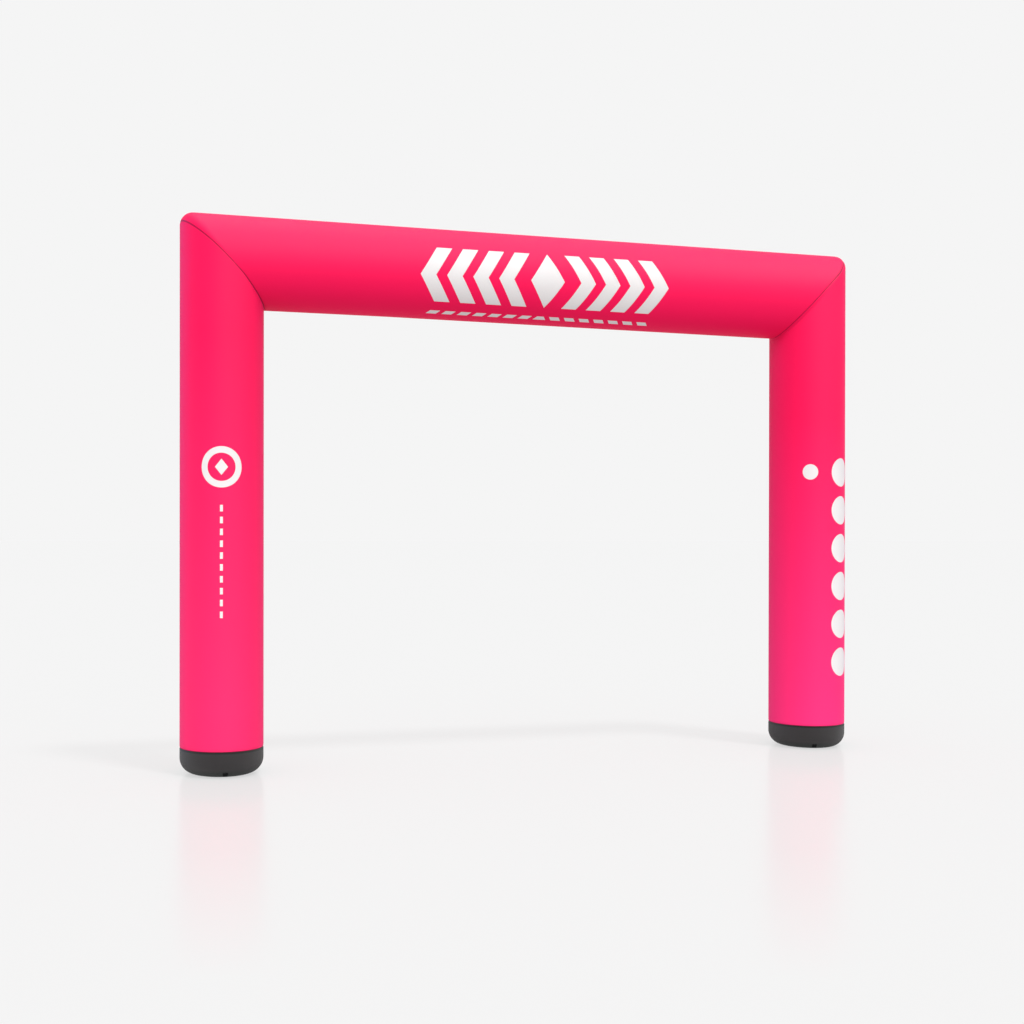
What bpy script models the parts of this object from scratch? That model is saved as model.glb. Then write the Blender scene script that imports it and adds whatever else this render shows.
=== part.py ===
"""Inflatable arch: two oval legs and a round crossbeam with mitred corners, on two dark feet.

Units are metres, +Z is up. X runs along the beam and -Y is the front. The origin is on the
ground, midway between the legs. Every tube is a closed solid in its inflated shape.
"""

import math

import bmesh
import bpy
from mathutils import Vector

# The arch as a whole
ARCH_WIDTH = 4.0
ARCH_HEIGHT = 3.0
TUBE_DEPTH = 0.5
LEG_WIDTH = 0.444

# Corners: the outside of each corner is rounded, and the rounding fades away round the tube
CORNER_ROUND = 0.064
CORNER_ROUND_INSIDE = 0.004
CORNER_FADE = 1.6

# Feet and their anchor tabs
FOOT_HEIGHT = 0.14
FOOT_EDGE_ROUND = 0.085
TAB_WIDTH = 0.030
TAB_THICKNESS = 0.0025
TAB_LOW_ANGLE = math.radians(68)
TAB_HIGH_ANGLE = math.radians(40)
TAB_TURN_LEFT = math.radians(-3)
TAB_TURN_RIGHT = math.radians(-19)

# Clearance between pieces that are sewn to each other
GAP = 0.0003

# Fineness of the faceted solids
SIDES = 72
CORNER_STEPS = 6
FOOT_EDGE_STEPS = 9
LEG_BAYS = 4
BEAM_BAYS = 6
TAB_STEPS_ACROSS = 4
TAB_STEPS_ALONG = 6

# Worked out from the sizes above
LEG_HALF_WIDTH = LEG_WIDTH / 2
HALF_DEPTH = TUBE_DEPTH / 2
LEG_AXIS_X = ARCH_WIDTH / 2 - LEG_HALF_WIDTH
BEAM_AXIS_Z = ARCH_HEIGHT - HALF_DEPTH
MITRE_LENGTH = math.hypot(LEG_HALF_WIDTH, HALF_DEPTH)
MITRE_OUT = LEG_HALF_WIDTH / MITRE_LENGTH
MITRE_UP = HALF_DEPTH / MITRE_LENGTH

# Colours and finishes: name, colour, roughness
POLYESTER = ("pink_polyester", (0.90, 0.028, 0.115, 1.0), 0.45)
FOOT_CLOTH = ("charcoal_coated_cloth", (0.045, 0.043, 0.043, 1.0), 0.6)
WEBBING = ("black_webbing", (0.02, 0.021, 0.022, 1.0), 0.75)


def clear_scene():
    """Remove whatever the file holds."""
    for thing in list(bpy.data.objects):
        bpy.data.objects.remove(thing, do_unlink=True)


def make_material(name, colour, roughness):
    """A plain Principled material."""
    material = bpy.data.materials.new(name)
    material.use_nodes = True
    shader = material.node_tree.nodes["Principled BSDF"]
    shader.inputs["Base Color"].default_value = colour
    shader.inputs["Roughness"].default_value = roughness
    shader.inputs["Metallic"].default_value = 0.0
    material.diffuse_color = colour
    return material


def ring_turns():
    """Angles round a tube: 0 is the arch's outside, a quarter turn is the front."""
    return [math.tau * step / SIDES for step in range(SIDES)]


def corner_radius(turn):
    """Rounding of the corner along the line that runs at this angle round the tube."""
    fade = max(0.0, math.cos(turn)) ** CORNER_FADE
    return CORNER_ROUND_INSIDE + (CORNER_ROUND - CORNER_ROUND_INSIDE) * fade


def corner_end_angle():
    """Angle along the corner's arc, from level, at which it meets the mitre plane."""
    reach = MITRE_OUT + MITRE_UP
    back = reach - math.sqrt(reach * reach - 1)
    return math.atan2(1 - back * MITRE_UP, 1 - back * MITRE_OUT)


def tube_y(turn):
    """Front-to-back place of a line along the tube, the same on the legs and the beam."""
    return -HALF_DEPTH * math.sin(turn)


def leg_outline_x(turn):
    """Distance of a leg line from the arch's middle."""
    return LEG_AXIS_X + LEG_HALF_WIDTH * math.cos(turn)


def beam_outline_z(turn):
    """Height of a beam line."""
    return BEAM_AXIS_Z + HALF_DEPTH * math.cos(turn)


def corner_point(turn, angle):
    """A point on the corner's arc: angle 0 is where it leaves the leg, 90 degrees the beam."""
    radius = corner_radius(turn)
    x = leg_outline_x(turn) - radius + radius * math.cos(angle)
    z = beam_outline_z(turn) - radius + radius * math.sin(angle)
    return Vector((x, tube_y(turn), z))


def leg_rings():
    """Rings of points up the right leg, from its foot joint to the mitre."""
    turns = ring_turns()
    low = FOOT_HEIGHT + GAP / 2
    rings = []
    for bay in range(LEG_BAYS):
        share = bay / LEG_BAYS
        ring = []
        for turn in turns:
            top = corner_point(turn, 0.0)
            ring.append(Vector((top.x, top.y, low + (top.z - low) * share)))
        rings.append(ring)
    for step in range(CORNER_STEPS + 1):
        angle = corner_end_angle() * step / CORNER_STEPS
        rings.append([corner_point(turn, angle) for turn in turns])
    drop = Vector((0, 0, GAP / 2 / MITRE_OUT))
    rings[-1] = [point - drop for point in rings[-1]]
    return rings


def beam_half_rings():
    """Rings of points from the right mitre to the middle of the beam."""
    turns = ring_turns()
    start = corner_end_angle()
    rings = []
    for step in range(CORNER_STEPS + 1):
        angle = start + (math.pi / 2 - start) * step / CORNER_STEPS
        rings.append([corner_point(turn, angle) for turn in turns])
    inward = Vector((GAP / 2 / MITRE_UP, 0, 0))
    rings[0] = [point - inward for point in rings[0]]
    for bay in range(1, BEAM_BAYS // 2 + 1):
        share = 1 - 2 * bay / BEAM_BAYS
        rings.append([Vector((point.x * share, point.y, point.z)) for point in rings[CORNER_STEPS]])
    return rings


def foot_profile_point(turn, angle, proud=0.0):
    """A point on the right foot's rounded edge: angle 0 is its wall, 90 degrees its base.

    proud lifts the point off the foot along the direction in which the edge faces.
    """
    outwards = Vector((math.cos(turn) * HALF_DEPTH, -math.sin(turn) * LEG_HALF_WIDTH, 0)).normalized()
    inset = FOOT_EDGE_ROUND * (1 - math.cos(angle))
    x = LEG_AXIS_X + LEG_HALF_WIDTH * math.cos(turn)
    place = Vector((x, tube_y(turn), FOOT_EDGE_ROUND * (1 - math.sin(angle))))
    facing = outwards * math.cos(angle) - Vector((0, 0, math.sin(angle)))
    return place - outwards * inset + facing * proud


def foot_rings():
    """Rings of points from the right foot's joint down to its flat base."""
    turns = ring_turns()
    top = FOOT_HEIGHT - GAP / 2
    rings = [[Vector((leg_outline_x(turn), tube_y(turn), top)) for turn in turns]]
    for step in range(FOOT_EDGE_STEPS + 1):
        angle = math.pi / 2 * step / FOOT_EDGE_STEPS
        rings.append([foot_profile_point(turn, angle) for turn in turns])
    return rings


def tab_layers(turn):
    """Inner and outer grids of points of an anchor tab that lies on the right foot's edge."""
    front_reach = math.hypot(LEG_HALF_WIDTH * math.sin(turn), HALF_DEPTH * math.cos(turn))
    half_turn = TAB_WIDTH / 2 / front_reach
    layers = []
    for proud in (GAP, GAP + TAB_THICKNESS):
        grid = []
        for along in range(TAB_STEPS_ALONG + 1):
            angle = TAB_LOW_ANGLE + (TAB_HIGH_ANGLE - TAB_LOW_ANGLE) * along / TAB_STEPS_ALONG
            row = []
            for across in range(TAB_STEPS_ACROSS + 1):
                offset = half_turn * (2 * across / TAB_STEPS_ACROSS - 1)
                row.append(foot_profile_point(turn + offset, angle, proud))
            grid.append(row)
        layers.append(grid)
    return layers


def mirrored(point):
    """The same point on the other side of the arch."""
    return Vector((-point.x, point.y, point.z))


def bridge(shell, ring, next_ring):
    """Join two closed rings of vertices with a band of faces."""
    count = len(ring)
    for i in range(count):
        j = (i + 1) % count
        shell.faces.new((ring[i], ring[j], next_ring[j], next_ring[i]))


def finish_object(name, shell, material, sharp_degrees):
    """Turn a closed shell into a named object, shaded smooth but for its sharp rims."""
    bmesh.ops.recalc_face_normals(shell, faces=shell.faces[:])
    mesh = bpy.data.meshes.new(name)
    shell.to_mesh(mesh)
    shell.free()
    mesh.materials.append(material)
    mesh.shade_smooth()
    mesh.set_sharp_from_angle(angle=math.radians(sharp_degrees))
    piece = bpy.data.objects.new(name, mesh)
    bpy.context.scene.collection.objects.link(piece)
    return piece


def tube_object(name, rings, material, origin):
    """A closed tube through rings of points, with a flat cap at each end."""
    shell = bmesh.new()
    loops = [[shell.verts.new(point - origin) for point in ring] for ring in rings]
    for ring, next_ring in zip(loops, loops[1:]):
        bridge(shell, ring, next_ring)
    shell.faces.new(loops[0])
    shell.faces.new(loops[-1])
    piece = finish_object(name, shell, material, sharp_degrees=40)
    piece.location = origin
    return piece


def tab_object(name, layers, material, origin):
    """A closed strip between two grids of points."""
    shell = bmesh.new()
    inner, outer = [[[shell.verts.new(p - origin) for p in row] for row in grid] for grid in layers]
    for grid in (inner, outer):
        for row, next_row in zip(grid, grid[1:]):
            for i in range(TAB_STEPS_ACROSS):
                shell.faces.new((row[i], row[i + 1], next_row[i + 1], next_row[i]))
    rims = [grid[0] + [row[-1] for row in grid[1:]] + grid[-1][-2::-1] + [row[0] for row in grid[-2:0:-1]]
            for grid in (inner, outer)]
    bridge(shell, rims[0], rims[1])
    piece = finish_object(name, shell, material, sharp_degrees=40)
    piece.location = origin
    return piece


def make_leg(name, side, material):
    """One leg tube: side is 1 on the right and -1 on the left."""
    rings = leg_rings()
    if side < 0:
        rings = [[mirrored(point) for point in ring] for ring in rings]
    tube_object(name, rings, material, Vector((side * LEG_AXIS_X, 0, FOOT_HEIGHT)))


def make_foot(name, side, material):
    """One foot cap."""
    rings = foot_rings()
    if side < 0:
        rings = [[mirrored(point) for point in ring] for ring in rings]
    tube_object(name, rings, material, Vector((side * LEG_AXIS_X, 0, 0)))


def make_beam(material):
    """The crossbeam, mitred at both ends."""
    half = beam_half_rings()
    other_half = [[mirrored(point) for point in ring] for ring in half[-2::-1]]
    tube_object("beam", half + other_half, material, Vector((0, 0, BEAM_AXIS_Z)))


def make_tab(name, side, swing, material):
    """One anchor tab, swung from the foot's front by an angle: negative is towards -X."""
    turn = math.pi / 2 - side * swing
    layers = tab_layers(turn)
    if side < 0:
        layers = [[[mirrored(point) for point in row] for row in grid] for grid in layers]
    tab_object(name, layers, material, Vector((side * LEG_AXIS_X, 0, 0)))


def main():
    """Build the whole arch."""
    clear_scene()
    polyester = make_material(*POLYESTER)
    foot_cloth = make_material(*FOOT_CLOTH)
    webbing = make_material(*WEBBING)
    make_beam(polyester)
    for label, side, swing in (("left", -1, TAB_TURN_LEFT), ("right", 1, TAB_TURN_RIGHT)):
        make_leg("leg_" + label, side, polyester)
        make_foot("foot_" + label, side, foot_cloth)
        make_tab("tab_" + label, side, swing, webbing)


main()
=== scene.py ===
"""Inflatable arch: finished cloth tubes, feet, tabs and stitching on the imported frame.

Units are metres. X runs along the beam, -Y is the printed front and Z is up. A turn round a tube
is an angle: 0 is the outside of the arch, a quarter turn is the front, half a turn the inside.
"""

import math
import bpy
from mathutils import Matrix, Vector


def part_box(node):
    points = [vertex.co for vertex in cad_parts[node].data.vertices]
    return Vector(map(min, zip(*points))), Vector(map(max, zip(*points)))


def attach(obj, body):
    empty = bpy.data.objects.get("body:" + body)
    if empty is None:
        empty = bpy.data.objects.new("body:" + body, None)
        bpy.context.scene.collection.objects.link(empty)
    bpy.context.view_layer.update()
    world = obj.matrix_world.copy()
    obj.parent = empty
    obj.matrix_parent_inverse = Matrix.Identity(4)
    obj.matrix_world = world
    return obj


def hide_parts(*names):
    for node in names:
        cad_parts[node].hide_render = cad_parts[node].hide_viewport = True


bl_info = {
    "name": "Inflatable Arch",
    "version": (1, 0, 0),
    "blender": (4, 5, 0),
    "location": "View3D > Sidebar > Arch",
    "description": "Air-filled arch with mitred corners, printed cloth and dark feet",
    "category": "Add Mesh",
}

import bmesh
import bpy
from bpy.props import FloatProperty, FloatVectorProperty, IntProperty, PointerProperty
from mathutils import Matrix, Vector

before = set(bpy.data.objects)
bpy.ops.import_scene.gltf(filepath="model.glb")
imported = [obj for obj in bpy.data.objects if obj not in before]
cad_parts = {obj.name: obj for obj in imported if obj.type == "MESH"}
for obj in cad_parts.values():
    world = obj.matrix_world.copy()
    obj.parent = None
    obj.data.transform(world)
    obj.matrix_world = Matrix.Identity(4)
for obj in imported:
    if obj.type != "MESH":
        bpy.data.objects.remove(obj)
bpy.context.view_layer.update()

ROOT = "root"
UV_NAME = "UVMap"
SEAM_NAME = "seam_distance"
SIDES = {"left": -1.0, "right": 1.0}
FRONT, BACK = math.pi / 2, -math.pi / 2
FULL_TURN = (0.0, math.tau)

# Main sizes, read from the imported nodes
FOOT_LOW, FOOT_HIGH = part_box("foot_right")
BEAM_LOW, BEAM_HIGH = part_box("beam")
LEG_AXIS_X = (FOOT_LOW.x + FOOT_HIGH.x) / 2
LEG_HALF_WIDTH = (FOOT_HIGH.x - FOOT_LOW.x) / 2
HALF_DEPTH = (BEAM_HIGH.y - BEAM_LOW.y) / 2
BEAM_AXIS_Z = BEAM_HIGH.z - HALF_DEPTH
SOLID_GAP = 0.0003
FOOT_TOP = FOOT_HIGH.z + SOLID_GAP / 2

# Points of a tree's mesh that lie this close are one
MERGE_DISTANCE = 0.00002

# How strongly a tube's rings crowd towards its ends, and the faces of a foot and a tab
RING_CROWDING = 0.97
FOOT_GRID = {"Sides": 128, "Rings": 60}
TAB_GRID = {"Sides": 48, "Rings": 48}


def mitre_arc_end(own_half, far_half):
    """Angle of a corner's arc, from this tube's own direction, at which it meets the mitre."""
    length = math.hypot(own_half, far_half)
    out, up = own_half / length, far_half / length
    reach = out + up
    back = reach - math.sqrt(reach * reach - 1)
    return math.atan2(1 - back * up, 1 - back * out)


def arithmetic(operation, swapped=False):
    """A method of Wire that adds one math node."""

    def method(self, other):
        pair = (other, self) if swapped else (self, other)
        return self.graph.math(operation, *pair)

    return method


def shortcut(operation):
    """A method of Graph that adds one math node."""

    def method(self, *values):
        return self.math(operation, *values)

    return method


class Wire:
    """A value in a node tree. Arithmetic on wires adds the nodes that work it out."""

    def __init__(self, graph, socket):
        self.graph = graph
        self.socket = socket

    __add__, __radd__ = arithmetic("ADD"), arithmetic("ADD", swapped=True)
    __sub__, __rsub__ = arithmetic("SUBTRACT"), arithmetic("SUBTRACT", swapped=True)
    __mul__, __rmul__ = arithmetic("MULTIPLY"), arithmetic("MULTIPLY", swapped=True)
    __truediv__, __rtruediv__ = arithmetic("DIVIDE"), arithmetic("DIVIDE", swapped=True)
    __pow__ = arithmetic("POWER")

    def __neg__(self):
        return self * -1.0


class Graph:
    """Adds nodes to a tree, one short call for each."""

    def __init__(self, tree, leave=None):
        self.tree = tree
        self.leave = leave

    def feed(self, socket, value):
        if isinstance(value, Wire):
            self.tree.links.new(value.socket, socket)
        else:
            socket.default_value = value

    def node(self, kind, feeds=None, **settings):
        """Add a node. feeds gives its inputs, by name or number, wires or plain values."""
        made = self.tree.nodes.new(kind)
        for name, value in settings.items():
            setattr(made, name, value)
        for key, value in (feeds or {}).items():
            self.feed(made.inputs[key], value)
        return made

    def wire(self, kind, feeds=None, output=0, **settings):
        """Add a node and give one of its outputs."""
        return Wire(self, self.node(kind, feeds, **settings).outputs[output])

    def math(self, operation, *values, clamp=False):
        return self.wire("ShaderNodeMath", dict(enumerate(values)), operation=operation, use_clamp=clamp)

    sin, cos, abs = shortcut("SINE"), shortcut("COSINE"), shortcut("ABSOLUTE")
    least, most, root = shortcut("MINIMUM"), shortcut("MAXIMUM"), shortcut("SQRT")
    floor, fraction = shortcut("FLOOR"), shortcut("FRACT")

    def unit(self, value):
        """The value, held between 0 and 1."""
        return self.math("ADD", value, 0.0, clamp=True)

    def fade(self, distance, reach):
        """1 at no distance, dying away over a reach."""
        return self.math("EXPONENT", -(distance / reach))

    def vector(self, x, y, z):
        return self.wire("ShaderNodeCombineXYZ", {0: x, 1: y, 2: z})

    def parts(self, vector):
        """X, Y and Z of a vector."""
        return [Wire(self, socket) for socket in self.node("ShaderNodeSeparateXYZ", {0: vector}).outputs]

    def noise(self, place, scale, detail):
        return self.wire("ShaderNodeTexNoise", {"Vector": place, "Scale": scale, "Detail": detail})

    def choose(self, condition, no, yes, kind="FLOAT"):
        feeds = {"Switch": condition, "False": no, "True": yes}
        return self.wire("GeometryNodeSwitch", feeds, input_type=kind)

    def group(self, tree, feeds):
        """Place a node group and give its outputs by name."""
        kind = "GeometryNodeGroup" if tree.bl_idname == "GeometryNodeTree" else "ShaderNodeGroup"
        made = self.node(kind, feeds, node_tree=tree)
        return {socket.name: Wire(self, socket) for socket in made.outputs}

    def give(self, values):
        """Feed the tree's own outputs, by name."""
        for label, value in values.items():
            self.feed(self.leave.inputs[label], value)


FLOAT, VECTOR, SHAPE = "NodeSocketFloat", "NodeSocketVector", "NodeSocketGeometry"

# Socket type of an input, by its default: a material has none
INPUT_TYPES = {bool: "NodeSocketBool", int: "NodeSocketInt", float: FLOAT, type(None): "NodeSocketMaterial"}


def open_tree(name, inputs, outputs, kind="GeometryNodeTree"):
    """Start a node group: (its graph, its inputs as wires by name)."""
    tree = bpy.data.node_groups.new(name, kind)
    for label, default in inputs.items():
        socket_type = INPUT_TYPES[type(default)]
        socket = tree.interface.new_socket(name=label, in_out="INPUT", socket_type=socket_type)
        if default is not None:
            socket.default_value = default
    for label, socket_type in outputs.items():
        tree.interface.new_socket(name=label, in_out="OUTPUT", socket_type=socket_type)
    entry = tree.nodes.new("NodeGroupInput")
    graph = Graph(tree, leave=tree.nodes.new("NodeGroupOutput"))
    return graph, {label: Wire(graph, entry.outputs[label]) for label in inputs}


# Inputs that say how a seam runs beside the true mitre
SHIFT_NAMES = ("Seam Shift", "Shift Turn", "Shift Spread")


def round_outline(graph, turn, across_half, depth_half):
    """Cosine, sine, outward direction and arc length from the front of an oval outline."""
    cosine, sine = graph.cos(turn), graph.sin(turn)
    lean_out, lean_front = depth_half * cosine, -(across_half * sine)
    length = graph.root(lean_out * lean_out + lean_front * lean_front)
    across_square, depth_square = across_half * across_half, depth_half * depth_half
    both = across_square + depth_square
    mean = graph.root(both * 0.5)
    squash = (depth_square - across_square) / both
    swing = turn - math.pi / 2
    around = mean * (swing - squash * 0.25 * graph.sin(swing * 2.0))
    return cosine, sine, lean_out / length, lean_front / length, around


def hang_fuller(graph, w, place):
    """Lower the beam's underside towards +X, fading out above it and down the leg beside it."""
    x, y, z = graph.parts(place)
    towards = graph.math("DIVIDE", x - w["Full From"], w["Full To"] - w["Full From"], clamp=True)
    above = graph.math("DIVIDE", w["Beam Axis"] - z, w["Half Depth"], clamp=True)
    leg_low = w["Beam Axis"] - w["Half Depth"] - w["Full Reach Down"]
    below = graph.math("DIVIDE", z - leg_low, w["Full Reach Down"], clamp=True)
    return graph.vector(x, y, z - w["Fullness"] * towards * graph.least(above, below))


# How fast the gathers change away from a seam, how far behind the middle of a tube's side its
# seam starts to open wider, and a distance further than any seam shows
GATHER_CHANGE = 3.0
PULL_FROM = 0.45
OUT_OF_REACH = 10.0


def tube_surface_tree(name):
    """Where a point of a tube's cloth lies, from its turn and its distance from the mitre."""
    inputs = tube_values(1.0, True) | {"Turn": 0.0, "Share": 0.0, "Distance": 0.0, "Lift": 0.0}
    outputs = {"Position": VECTOR, "Normal": VECTOR, "Along": FLOAT, "Around": FLOAT, "Seam Distance": FLOAT}
    graph, w = open_tree(name, inputs, outputs)
    cosine, sine, out, front, around = round_outline(graph, w["Turn"], w["Cross Half"], w["Half Depth"])
    fading = graph.most(cosine, 0.0) ** w["Corner Fade"]
    radius = w["Corner Round Inside"] + (w["Corner Round"] - w["Corner Round Inside"]) * fading
    corner_along = w["Far Centre"] + w["Far Half"] * cosine
    corner_across = w["Cross Centre"] + w["Cross Half"] * cosine
    arc = radius * w["Arc End"]

    # The seam may run beside the true mitre: then the cloth stops short of it or goes on past it
    from_peak = (graph.math("ARCCOSINE", cosine) - w["Shift Turn"]) * w["Shift Spread"]
    shift = w["Seam Shift"] * graph.most(graph.cos(from_peak), 0.0)
    length = corner_along - radius - w["Start"] + arc - shift
    distance = length * w["Share"] + w["Distance"]
    from_mitre = distance + shift
    bend = graph.least(graph.most(w["Arc End"] - from_mitre / radius, 0.0), math.pi / 2)
    back = graph.most(from_mitre - arc, 0.0)
    past = graph.most(-from_mitre - radius * (math.pi / 2 - w["Arc End"]), 0.0)
    along = corner_along - radius - back + radius * graph.sin(bend)
    across = corner_across - radius - past + radius * graph.cos(bend)
    depth = -(w["Half Depth"] * sine)

    # Cloth sinks towards each seam and gathers a little beside it
    start_counts = graph.math("GREATER_THAN", w["Start Dip"], 0.0)
    from_start = graph.abs(length - distance)
    waves = w["Half Depth"] / w["Pucker Spacing"]
    spot = graph.vector(cosine * waves, sine * waves, w["Seed"] + distance * GATHER_CHANGE)
    noise = graph.noise(spot, 1.0, 1.0)
    reach = w["Pucker Reach"]
    gather = graph.fade(distance, reach) + graph.fade(from_start, reach) * start_counts
    lift = w["Lift"] + (noise - 0.5) * 2.0 * w["Pucker Height"] * gather
    lift = lift - w["Seam Dip"] * graph.fade(distance, w["Seam Spread"])
    lift = lift - w["Start Dip"] * graph.fade(from_start, w["Seam Spread"])

    def turned(a, b, y):
        """A vector from its parts along, across and in depth, as the tube stands or lies."""
        upright = graph.vector(w["Side"] * b, y, a)
        level = graph.vector(w["Side"] * a, y, b)
        return graph.choose(w["Upright"], level, upright, "VECTOR")

    out_along, out_across = out * graph.sin(bend), out * graph.cos(bend)
    place = turned(along + out_along * lift, across + out_across * lift, depth + front * lift)
    start_far = from_start + (1.0 - start_counts) * OUT_OF_REACH
    pulled = 1.0 + w["Outer Pull"] * graph.unit(cosine + PULL_FROM)
    graph.give(
        {
            "Position": hang_fuller(graph, w, place),
            "Normal": turned(out_along, out_across, front),
            "Along": w["Start"] + length - distance,
            "Around": around,
            "Seam Distance": graph.least(distance / pulled, start_far),
        }
    )
    return graph.tree


def flat_sheet(graph, w):
    """A grid to lay on a surface: (its mesh, step along it, step round it), the steps 0 to 1."""
    size = {"Size X": 1.0, "Size Y": 1.0, "Vertices X": w["Rings"] + 1.0, "Vertices Y": w["Sides"] + 1.0}
    grid = graph.wire("GeometryNodeMeshGrid", size)
    x, y, _ = graph.parts(graph.wire("GeometryNodeInputPosition"))
    return grid, x + 0.5, y + 0.5


def lay_sheet(graph, mesh, place, material, flat, seam=None):
    """Lay the grid on its surface, with its flat coordinates and its distance from the seam."""
    kept = [(UV_NAME, flat, "FLOAT2", "CORNER")]
    if seam is not None:
        kept.append((SEAM_NAME, seam, "FLOAT", "POINT"))
    for name, value, data_type, domain in kept:
        feeds = {"Geometry": mesh, "Name": name, "Value": value}
        mesh = graph.wire("GeometryNodeStoreNamedAttribute", feeds, data_type=data_type, domain=domain)
    mesh = graph.wire("GeometryNodeSetPosition", {"Geometry": mesh, "Position": place})
    mesh = graph.wire("GeometryNodeMergeByDistance", {"Geometry": mesh, "Distance": MERGE_DISTANCE})
    return finish_shape(graph, mesh, material)


def finish_shape(graph, shape, material):
    """End a geometry tree: real geometry, smooth, with its material."""
    shape = graph.wire("GeometryNodeRealizeInstances", {"Geometry": shape})
    shape = graph.wire("GeometryNodeSetShadeSmooth", {"Geometry": shape})
    shape = graph.wire("GeometryNodeSetMaterial", {"Geometry": shape, "Material": material})
    graph.give({"Geometry": shape})
    return graph.tree


def air_tube_tree(name, surface):
    """One cloth tube: a leg, or the whole beam with a mitre at both ends."""
    tube = tube_values(1.0, True)
    own = {"Both Ends": False, "Sides": 160, "Rings": 150, "Crowding": RING_CROWDING, "Material": None}
    left = {"Left " + label: tube[label] for label in SHIFT_NAMES}
    graph, w = open_tree(name, tube | own | left, {"Geometry": SHAPE})
    grid, step_along, step_round = flat_sheet(graph, w)
    eased = step_along - w["Crowding"] * graph.sin(step_along * math.tau) / math.tau
    swing = eased * 2.0 - 1.0
    swing_side = graph.math("GREATER_THAN", swing, 0.0) * 2.0 - 1.0
    side = graph.choose(w["Both Ends"], w["Side"], swing_side)
    share = graph.choose(w["Both Ends"], 1.0 - eased, 1.0 - graph.abs(swing))
    feeds = {label: w[label] for label in tube}
    feeds.update({"Side": side, "Turn": step_round * math.tau - math.pi / 2, "Share": share})
    on_left = graph.math("LESS_THAN", swing, 0.0) * w["Both Ends"]
    for label in SHIFT_NAMES:
        feeds[label] = w[label] + (w["Left " + label] - w[label]) * on_left
    cloth = graph.group(surface, feeds)

    # Flat coordinates in metres: across and up on a leg, along and up on the beam
    leg_flat = graph.vector(-(cloth["Around"] * side), cloth["Along"], 0.0)
    beam_flat = graph.vector(cloth["Along"] * side, -cloth["Around"], 0.0)
    flat = graph.choose(w["Upright"], beam_flat, leg_flat, "VECTOR")
    return lay_sheet(graph, grid, cloth["Position"], w["Material"], flat, cloth["Seam Distance"])


# A foot's ripples: waves round it and down it, how far the two feet differ, and the part of their
# height that stays away from the rounded edge
RIPPLES_ROUND, RIPPLES_DOWN, RIPPLES_APART = 9.0, 6.0, 5.0
RIPPLE_REST = 0.25

# Length of the flat coordinates on a foot's base
BASE_FLAT = 0.2


def foot_surface_tree(name):
    """Where a point of a foot lies. Profile runs 0 to 1 down the wall, to 2 round the edge, to 3 in."""
    inputs = foot_values(1.0) | {"Turn": 0.0, "Profile": 0.0, "Lift": 0.0}
    outputs = {"Position": VECTOR, "Normal": VECTOR, "Flat": VECTOR, "Seam Distance": FLOAT}
    graph, w = open_tree(name, inputs, outputs)
    cosine, sine, out, front, around = round_outline(graph, w["Turn"], w["Half Width"], w["Half Depth"])
    down = graph.unit(w["Profile"])
    angle = graph.unit(w["Profile"] - 1.0) * (math.pi / 2)
    inward = graph.unit(w["Profile"] - 2.0)
    inset = w["Edge Round"] * (1.0 - graph.cos(angle))
    wall = w["Height"] - w["Edge Round"]
    from_top = wall * down + w["Edge Round"] * graph.sin(angle)
    travelled = wall * down + w["Edge Round"] * angle

    # The cap sinks at its seam, and its edge ripples slightly where it takes the weight
    further = w["Side"] * RIPPLES_APART + travelled * RIPPLES_DOWN
    noise = graph.noise(graph.vector(cosine * RIPPLES_ROUND, sine * RIPPLES_ROUND, further), 1.0, 1.0)
    edge_share = graph.sin(angle * 2.0) + RIPPLE_REST
    ripple = (noise - 0.5) * 2.0 * w["Ripple Height"] * edge_share * graph.cos(angle)
    lift = w["Lift"] + ripple - w["Seam Dip"] * graph.fade(travelled, w["Seam Spread"])
    out_level, out_down = graph.cos(angle), -graph.sin(angle)
    keep = 1.0 - inward
    x = (w["Half Width"] * cosine - out * inset + out * out_level * lift) * keep
    y = (-(w["Half Depth"] * sine) - front * inset + front * out_level * lift) * keep
    z = graph.most(w["Height"] - from_top + out_down * lift, 0.0)
    graph.give(
        {
            "Position": graph.vector(w["Side"] * (w["Axis X"] + x), y, z),
            "Normal": graph.vector(w["Side"] * out * out_level, front * out_level, out_down),
            "Flat": graph.vector(-(around * w["Side"]), -travelled - inward * BASE_FLAT, 0.0),
            "Seam Distance": travelled,
        }
    )
    return graph.tree


def foot_cap_tree(name, surface):
    """One foot: wall, rounded edge and flat base, closed at the middle of the base."""
    foot = foot_values(1.0)
    graph, w = open_tree(name, foot | FOOT_GRID | {"Material": None}, {"Geometry": SHAPE})
    grid, step_down, step_round = flat_sheet(graph, w)
    feeds = {label: w[label] for label in foot}
    feeds.update({"Turn": step_round * math.tau - math.pi / 2, "Profile": step_down * 3.0})
    cap = graph.group(surface, feeds)
    return lay_sheet(graph, grid, cap["Position"], w["Material"], cap["Flat"], cap["Seam Distance"])


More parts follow.
